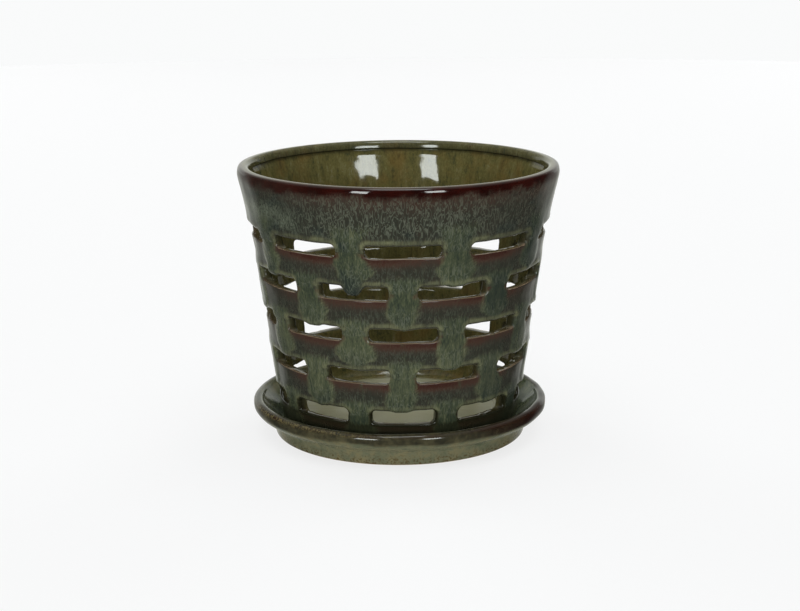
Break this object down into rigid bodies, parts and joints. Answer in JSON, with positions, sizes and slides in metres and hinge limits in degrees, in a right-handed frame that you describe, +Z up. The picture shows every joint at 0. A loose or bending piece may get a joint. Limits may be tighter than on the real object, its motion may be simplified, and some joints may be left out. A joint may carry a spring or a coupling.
{
  "type": "orchid pot with slots",
  "caption": "Tapered glazed stoneware orchid pot with staggered rows of wall slots that air the roots, standing loose in a flared drip saucer.",
  "frame": {"origin": "on the table, under the middle of the saucer's foot ring", "axes": "+Z up along the axis of the pot and the saucer, -Y towards the viewer of the picture, through the middle of a slot"},
  "size_m": [0.1496, 0.1496, 0.1282],
  "materials": {
    "pot_glaze": "glossy reactive glaze",
    "saucer_glaze": "glossy reactive glaze"
  },
  "bodies": {
    "saucer": {"saucer": "saucer_glaze"},
    "pot": {"slotted_pot": "pot_glaze"}
  },
  "joints": [
    {"name": "pot_lift", "type": "slide", "parent": "saucer", "child": "pot", "axis": [0, 0, 1], "range_m": [0, 0.05]}
  ]
}
